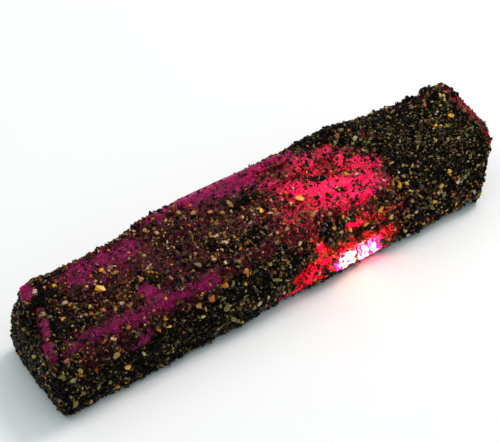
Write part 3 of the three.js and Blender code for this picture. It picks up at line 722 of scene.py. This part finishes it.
def makeLargeGrains(shape):
    surface = BVHTree.FromPolygons(outerPlaces.tolist(), crystalCells.tolist())
    draw = np.random.default_rng(shape["seed"])
    corners, faces, tones, numbers = [], [], [], []
    for tone, grains in largeGrains.items():
        for x, y, z, long, wide in grains:
            place = Vector((np.array([x, y, z]) + designStep) * mm)
            spot, outward = surface.find_nearest(place)[:2]
            long, wide = long * shape["scale"], wide * shape["scale"]
            thick = shape["thick"] * wide
            turned = Euler((0, 0, draw.uniform(0, math.pi))).to_quaternion()
            turn = outward.to_track_quat("Z", "Y") @ turned
            hull = roundedGrain(draw, shape)
            centre = spot + outward * thick * (0.5 - shape["sink"]) * mm
            first = len(corners)
            hull.verts.index_update()
            for corner in hull.verts:
                x, y, z = corner.co
                corners.append(centre + turn @ Vector((x * long, y * wide, z * thick)) * mm)
            faces += [[first + corner.index for corner in face.verts] for face in hull.faces]
            tones += [largeTones[tone]] * len(hull.verts)
            numbers += [len(numbers)] * len(hull.verts)
            hull.free()
    mesh = bpy.data.meshes.new("large_grains")
    mesh.from_pydata(corners, [], faces)
    storeValues(mesh, "tone", np.array(tones))
    storeValues(mesh, "grain", np.array(numbers))
    mapGrains(mesh)
    mesh.attributes.remove(mesh.attributes["grain"])
    print("large_grains:", len(mesh.polygons), "faces")
    return mesh


# A new material with its one shader. Patterns are linked to the shader's sockets afterwards.
def newMaterial(name, settings):
    material = bpy.data.materials.new(name)
    material.use_nodes = True
    tree = material.node_tree
    tree.nodes.clear()
    shader = addNode(tree, "ShaderNodeBsdfPrincipled", settings)
    addNode(tree, "ShaderNodeOutputMaterial", {}, {"Surface": shader.outputs[0]})
    return material, tree, shader.inputs


# Gives a colour ramp its tones, each a place from 0 to 1 and a colour.
def setTones(ramp, tones):
    elements = ramp.color_ramp.elements
    while len(elements) < len(tones):
        elements.new(0.5)
    for number, (position, hexCode) in enumerate(tones):
        elements[number].position = position
        elements[number].color = linearColour(hexCode)


# Patterns are in cells per metre. A level says where a pattern starts to show, where it shows
# most, and how much.
rubyLook = {
    "tones": [(0.38, "#440526"), (0.64, "#b01462")],    # of the cloudy inside
    "clouds": 700.0,          # 1.4 mm across
    # Dark red: partly an iron stain, partly painted red glow from the lamp-lit crystal
    "stainAndRedGlow": "#620a12",
    "dust": "#1c0206",
    "dustCells": 1900.0,      # specks of mica, 0.5 mm across
    "dustLevel": (0.57, 0.66, 0.75),
    "dustOnStainAndGlow": 0.16,      # more of it where the stain and painted red glow are deep
    "chipsAndGlints": "#cc5a78",       # painted glints: small pale points that stand in for highlights on the face
    "glintCells": 2300.0,
    "glintLevel": (0.68, 0.73, 0.8),
    "growthLines": (60.0, 1400.0, 1400.0),    # 17 mm long, 0.7 mm from line to line
    "lineStrength": 0.35,
    "lineDepth": 0.2 * mm,
    "roughness": 0.4,
    "gloss": 0.035,
    "scatterReach": 12 * mm,
    "scatterColour": (1.0, 0.08, 0.25),
}


# Corundum coloured by chromium: deep magenta where light only grazes it, hot pink-red where a
# lamp lights it up from inside, with the dull sheen of a raw face. Its dark red stain is partly
# painted red glow, and its small pale points are painted glints.
def rubyCorundum(look):
    material, tree, sockets = newMaterial("ruby corundum", {
        "Roughness": look["roughness"], "IOR": 1.77, "Specular IOR Level": look["gloss"],
        "Subsurface Weight": 1.0, "Subsurface Scale": look["scatterReach"],
        "Subsurface Radius": look["scatterColour"],
    })
    place = addNode(tree, "ShaderNodeTexCoord").outputs["Object"]
    cloud = addNode(tree, "ShaderNodeTexNoise", {
        "Scale": look["clouds"], "Detail": 8.0, "Roughness": 0.75}, {"Vector": place})
    ramp = addNode(tree, "ShaderNodeValToRGB", {}, {0: cloud.outputs[0]})
    setTones(ramp, look["tones"])
    # How far the crystal is stained, and with it reddened by painted glow
    stainAndRedGlow = addNode(tree, "ShaderNodeAttribute", {"attribute_name": "stainAndRedGlow"}).outputs["Fac"]
    dust = addNode(tree, "ShaderNodeTexNoise", {"Scale": look["dustCells"], "Detail": 2.0},
                   {"Vector": place})
    dusty = addNode(tree, "ShaderNodeMath", {"operation": "MULTIPLY_ADD", 1: look["dustOnStainAndGlow"]},
                    {0: stainAndRedGlow, 2: dust.outputs[0]})
    low, high, most = look["dustLevel"]
    specks = addNode(tree, "ShaderNodeMapRange", {"From Min": low, "From Max": high, "To Max": most},
                     {"Value": dusty.outputs[0]})
    # Painted glints: pale points from a fine noise, standing in for highlights on the crystal's face
    glintSpots = addNode(tree, "ShaderNodeTexNoise", {"Scale": look["glintCells"], "Detail": 1.0},
                     {"Vector": place})
    low, high, most = look["glintLevel"]
    chipsAndGlints = addNode(tree, "ShaderNodeMapRange", {"From Min": low, "From Max": high, "To Max": most},
                    {"Value": glintSpots.outputs[0]})
    colour = ramp.outputs[0]
    layers = [("stainAndRedGlow", stainAndRedGlow), ("dust", specks.outputs[0]), ("chipsAndGlints", chipsAndGlints.outputs[0])]
    for name, share in layers:
        mixed = addNode(tree, "ShaderNodeMix", {"data_type": "RGBA", 7: linearColour(look[name])},
                        {0: share, 6: colour})
        colour = mixed.outputs[2]
    tree.links.new(colour, sockets["Base Color"])
    long = addNode(tree, "ShaderNodeMapping", {"Scale": look["growthLines"]}, {"Vector": place})
    lines = addNode(tree, "ShaderNodeTexNoise", {"Scale": 1.0, "Detail": 3.0},
                    {"Vector": long.outputs[0]})
    relief = addNode(tree, "ShaderNodeBump", {
        "Strength": look["lineStrength"], "Distance": look["lineDepth"]}, {"Height": lines.outputs[0]})
    tree.links.new(relief.outputs[0], sockets["Normal"])
    return material


earthLook = {
    "tones": [(0.4, "#020201"), (0.75, "#120d07")],
    "clouds": 900.0,          # 1.1 mm across
    "thin": "#480a0e",
    "roughness": 0.8,
    "gloss": 0.05,
}


# Fine mica and clay packed between the grains: nearly black and dull, dark red with the crystal's
# own dust where the crust is thin.
def micaEarth(look):
    material, tree, sockets = newMaterial("mica earth", {
        "Roughness": look["roughness"], "Specular IOR Level": look["gloss"]})
    place = addNode(tree, "ShaderNodeTexCoord").outputs["Object"]
    cloud = addNode(tree, "ShaderNodeTexNoise", {"Scale": look["clouds"], "Detail": 4.0},
                    {"Vector": place})
    ramp = addNode(tree, "ShaderNodeValToRGB", {}, {0: cloud.outputs[0]})
    setTones(ramp, look["tones"])
    thin = addNode(tree, "ShaderNodeAttribute", {"attribute_name": "thin"})
    reddened = addNode(tree, "ShaderNodeMix", {"data_type": "RGBA", 7: linearColour(look["thin"])},
                       {0: thin.outputs["Fac"], 6: ramp.outputs[0]})
    tree.links.new(reddened.outputs[2], sockets["Base Color"])
    return material


# One colour for each grain, drawn from the list of tones by its own random number.
def grainMaterial(name, tones, roughness, gloss):
    material, tree, sockets = newMaterial(name, {"Roughness": roughness, "Specular IOR Level": gloss})
    tone = addNode(tree, "ShaderNodeAttribute", {"attribute_name": "tone"})
    ramp = addNode(tree, "ShaderNodeValToRGB", {}, {0: tone.outputs["Fac"]})
    setTones(ramp, tones)
    tree.links.new(ramp.outputs[0], sockets["Base Color"])
    return material


rubyFinish = rubyCorundum(rubyLook)
bedFinish = micaEarth(earthLook)
# Biotite mica: black to brown flakes with a faint sheen; a few are pale, their pale tones partly
# painted glints.
darkFinish = grainMaterial("biotite mica", [
    (0.0, "#020201"), (0.38, "#0b0805"), (0.62, "#1f160a"), (0.8, "#3a2811"), (0.92, "#684c20"),
    (1.0, "#948058"),
], 0.35, 0.08)
# Weathered feldspar, quartz and iron-stained sand: red-brown, brown, tan and amber; its palest cream
# tones are partly painted glints.
warmFinish = grainMaterial("feldspar and quartz sand", [
    (0.0, "#180804"), (0.42, "#4a1a0a"), (0.6, "#8a3a0e"), (0.74, "#b86416"), (0.85, "#dc941c"),
    (0.94, "#c88a5c"), (1.0, "#e4c8a6"),
], 0.3, 0.4)
# Chlorite and epidote sand: olive to yellow green.
oliveFinish = grainMaterial("epidote sand", [
    (0.0, "#12100a"), (0.35, "#2a2610"), (0.6, "#4a3e14"), (0.8, "#7c661c"), (0.92, "#b49634"),
    (1.0, "#d8c486"),
], 0.3, 0.45)
# Fine silt ground from all of them: dull brown and olive.
siltFinish = grainMaterial("silt", [
    (0.0, "#1e150c"), (0.4, "#46341f"), (0.75, "#705a38"), (1.0, "#9c875e"),
], 0.6, 0.1)
# Coarse sand: amber, orange, tan, olive and cream, slightly waxy; the cream is partly painted glints.
coarseFinish = grainMaterial("coarse sand", [
    (0.0, "#eaa20c"), (0.25, "#bc5a12"), (0.5, "#a27a3e"), (0.75, "#766420"), (1.0, "#c0ac80"),
], 0.28, 0.45)

# The crystal turns dark red under the crust, by its cover, and along its worn edges: partly an iron
# stain, partly painted glow of the lamp-lit crystal. Name, start, end, half width and strength.
stainAndGlowUnderCrust = {"most": 0.9, "cover": (0.2, 0.7), "fade": 0.6}
stainAndGlowEdges = [
    ("right end rim", (63.5, 9.9, 21.4), (64.6, -10.1, 17.6), 3.4, 1.7),
    ("left end strip", (-60, 2.4, 20.8), (-64.6, -9.6, 17.9), 2.4, 0.25),
    ("back corner", (-59.3, 10.3, 21), (-60.6, 7.7, 21.4), 3, 0.15),
    ("sill", (6, -13.1, 2.4), (-12, -13.1, 2.5), 2, 0.55),
]


def stainAndGlowAt(points, rule):
    stainAndRedGlow = rule["most"] * smoothStep(cover, *rule["cover"])
    for name, start, end, half, strength in stainAndGlowEdges:
        near = 1 - smoothStep(fromLine(points, start, end, half), -rule["fade"], rule["fade"])
        stainAndRedGlow = np.maximum(stainAndRedGlow, near * strength)
    return stainAndRedGlow


# The crystal keeps its stain and painted red glow as a value on each corner
storeValues(crystalMesh, "stainAndRedGlow", stainAndGlowAt(designPlaces, stainAndGlowUnderCrust))
crystal = addPiece("ruby_body", crystalMesh)
crystal.data.materials.clear()
crystal.data.materials.append(rubyFinish)
bed = addPiece("crust_bed", bedMesh)
bed.data.materials.append(bedFinish)

chipsAndGlints = grainShapes("chip", chipShape)
crumbs = grainShapes("crumb", crumbShape)

# What is strewn: name, how, which shapes and which finish. Sink is a share of a grain's size.
grainKinds = [
    ("dark_grains", {
        "Cover": "darkCover", "Spacing": 0.68 * mm, "Density": 2.4e6, "Smallest": 0.9 * mm,
        "Largest": 2.6 * mm, "Size Bias": 2.2, "Tilt": 0.9, "Sink": 0.05, "Seed": 3,
    }, chipsAndGlints, darkFinish),
    ("warm_grains", {
        "Cover": "warmCover", "Spacing": 0.68 * mm, "Density": 2.4e6, "Smallest": 0.9 * mm,
        "Largest": 2.3 * mm, "Size Bias": 2.0, "Tilt": 0.9, "Sink": 0.02, "Seed": 4,
    }, chipsAndGlints, warmFinish),
    ("olive_grains", {
        "Cover": "oliveCover", "Spacing": 0.65 * mm, "Density": 2.4e6, "Smallest": 0.8 * mm,
        "Largest": 2.2 * mm, "Size Bias": 2.0, "Tilt": 0.9, "Sink": 0.02, "Seed": 7,
    }, chipsAndGlints, oliveFinish),
    ("dark_crumbs", {
        "Cover": "darkCrumbCover", "Spacing": 0.45 * mm, "Density": 4.6e6, "Smallest": 0.5 * mm,
        "Largest": 1.4 * mm, "Size Bias": 1.5, "Tilt": 1.2, "Sink": -0.05, "Seed": 5,
    }, crumbs, darkFinish),
    ("warm_crumbs", {
        "Cover": "warmCrumbCover", "Spacing": 0.42 * mm, "Density": 5.0e6, "Smallest": 0.4 * mm,
        "Largest": 1.2 * mm, "Size Bias": 1.6, "Tilt": 1.2, "Sink": -0.1, "Seed": 6,
    }, crumbs, warmFinish),
    ("silt_crumbs", {
        "Cover": "siltCover", "Spacing": 0.5 * mm, "Density": 4.0e6, "Smallest": 0.6 * mm,
        "Largest": 1.3 * mm, "Size Bias": 1.3, "Tilt": 1.2, "Sink": -0.2, "Seed": 9,
    }, crumbs, siltFinish),
]
pieces = [crystal, bed]
for name, values, shapes, finish in grainKinds:
    pieces.append(strewGrains(name, values, shapes, finish))
large = addPiece("large_grains", makeLargeGrains(largeShape))
large.data.materials.append(coarseFinish)
pieces.append(large)
for shapes in (chipsAndGlints, crumbs):
    for shape in list(shapes.objects):
        bpy.data.objects.remove(shape)
    bpy.data.collections.remove(shapes)

for piece in pieces:
    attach(piece, "root")
    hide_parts("ruby_crystal" if piece is crystal else "sand_crust")

# Sizes and places in metres.
studio = {
    "floorColour": "#fef8f8",
    "floorRoughness": 0.6,
    "floorSize": 4.0,
    "worldColour": "#b6e2e8",
    "worldStrength": 0.5,
    "aim": (0, 0, 0.01),
}
softLamps = {
    "panel": {"place": (0, 0.1, 1.0), "size": (1.6, 1.6), "watts": 7.2, "colour": "#fff4f0"},
    "key": {"place": (0.5, 0.1, 0.75), "size": (0.3, 0.3), "watts": 3.4, "colour": "#fff6f0"},
    "fill": {"place": (0.15, -0.65, 0.6), "size": (0.6, 0.6), "watts": 0.5, "colour": "#f4f8ff"},
}
# Lamps at the crystal's front foot, and the red light that leaves it around there and above. They
# light the crystal alone, so that the crust stays dark against the glow. The green one turns the
# middle of the glow white. Places and sizes are in mm on the stone.
glowLamps = {
    "spot": {
        "place": (20, -16.6, 3.6), "aim": (20, 0, 5), "size": (12, 4), "watts": 0.2,
        "colour": "#ffe8f0", "spread": 66},
    "middle of the spot": {
        "place": (18.6, -16.6, 4.6), "aim": (18.6, 0, 5), "size": (7, 4), "watts": 0.7,
        "colour": "#18ff50", "spread": 55},
    "glow in front": {
        "place": (18, -40, 12), "aim": (18, -12, 7), "size": (24, 7), "watts": 0.027,
        "colour": "#ff1838", "spread": 50},
    "glow on top": {
        "place": (19, -7, 44), "aim": (18.5, -2, 20), "size": (28, 13), "watts": 0.0125,
        "colour": "#ff2c6c", "spread": 58},
}


def makeFloor():
    mesh = bpy.data.meshes.new("floor")
    half = studio["floorSize"] / 2
    corners = [(-half, -half, 0), (half, -half, 0), (half, half, 0), (-half, half, 0)]
    mesh.from_pydata(corners, [], [(0, 1, 2, 3)])
    paper = newMaterial("pale paper", {
        "Base Color": linearColour(studio["floorColour"]), "Roughness": studio["floorRoughness"]})
    mesh.materials.append(paper[0])
    floor = addPiece("floor", mesh)


def makeWorld():
    world = bpy.data.worlds.new("studio")
    world.use_nodes = True
    sky = world.node_tree.nodes["Background"].inputs
    sky["Color"].default_value = linearColour(studio["worldColour"])
    sky["Strength"].default_value = studio["worldStrength"]
    bpy.context.scene.world = world


def addLamp(name, place, aim, size, values):
    data = bpy.data.lights.new(name, "AREA")
    data.shape = "RECTANGLE"
    data.size, data.size_y = size
    data.energy = values["watts"]
    data.color = linearColour(values["colour"])[:3]
    lamp = bpy.data.objects.new(name, data)
    bpy.context.scene.collection.objects.link(lamp)
    lamp.location = place
    lamp.rotation_euler = (Vector(aim) - Vector(place)).to_track_quat("-Z", "Y").to_euler()
    lamp.visible_camera = False
    return lamp


makeFloor()
makeWorld()
bpy.context.scene.view_settings.view_transform = "Standard"
for name, values in softLamps.items():
    addLamp(name, values["place"], studio["aim"], values["size"], values)
lit = bpy.data.collections.new("lit by the glow")
lit.objects.link(crystal)
for name, values in glowLamps.items():
    place, aim = [(np.array(values[key]) + designStep) * mm for key in ("place", "aim")]
    width, height = values["size"]
    lamp = addLamp(name, place, aim, (width * mm, height * mm), values)
    lamp.data.spread = math.radians(values["spread"])
    lamp.visible_glossy = False
    lamp.light_linking.receiver_collection = lit

# The camera, as the photograph looks at the stone: sizes in mm, angles in degrees.
photoView = {
    "azimuth": -35.25,
    "elevation": 44.98,
    "distance": 475.7,
    "aim": (0.865, -0.247, 10.0),
    "right": -2.45,    # the camera moves this far to its right and up, without turning
    "up": 5.11,
    "lens": 140.0,
    "clipStart": 10.0,
}


def makeCamera(view):
    azimuth, elevation = math.radians(view["azimuth"]), math.radians(view["elevation"])
    level = math.cos(elevation)
    back = Vector((math.sin(azimuth) * level, -math.cos(azimuth) * level, math.sin(elevation)))
    right = Vector((math.cos(azimuth), math.sin(azimuth), 0))
    up = back.cross(right)
    camera = bpy.data.objects.new("camera", bpy.data.cameras.new("camera"))
    bpy.context.scene.collection.objects.link(camera)
    place = Vector(view["aim"]) + back * view["distance"] + right * view["right"] + up * view["up"]
    camera.location = place * mm
    camera.rotation_euler = (-back).to_track_quat("-Z", "Y").to_euler()
    camera.data.lens = view["lens"]
    camera.data.clip_start = view["clipStart"] * mm
    bpy.context.scene.camera = camera


makeCamera(photoView)
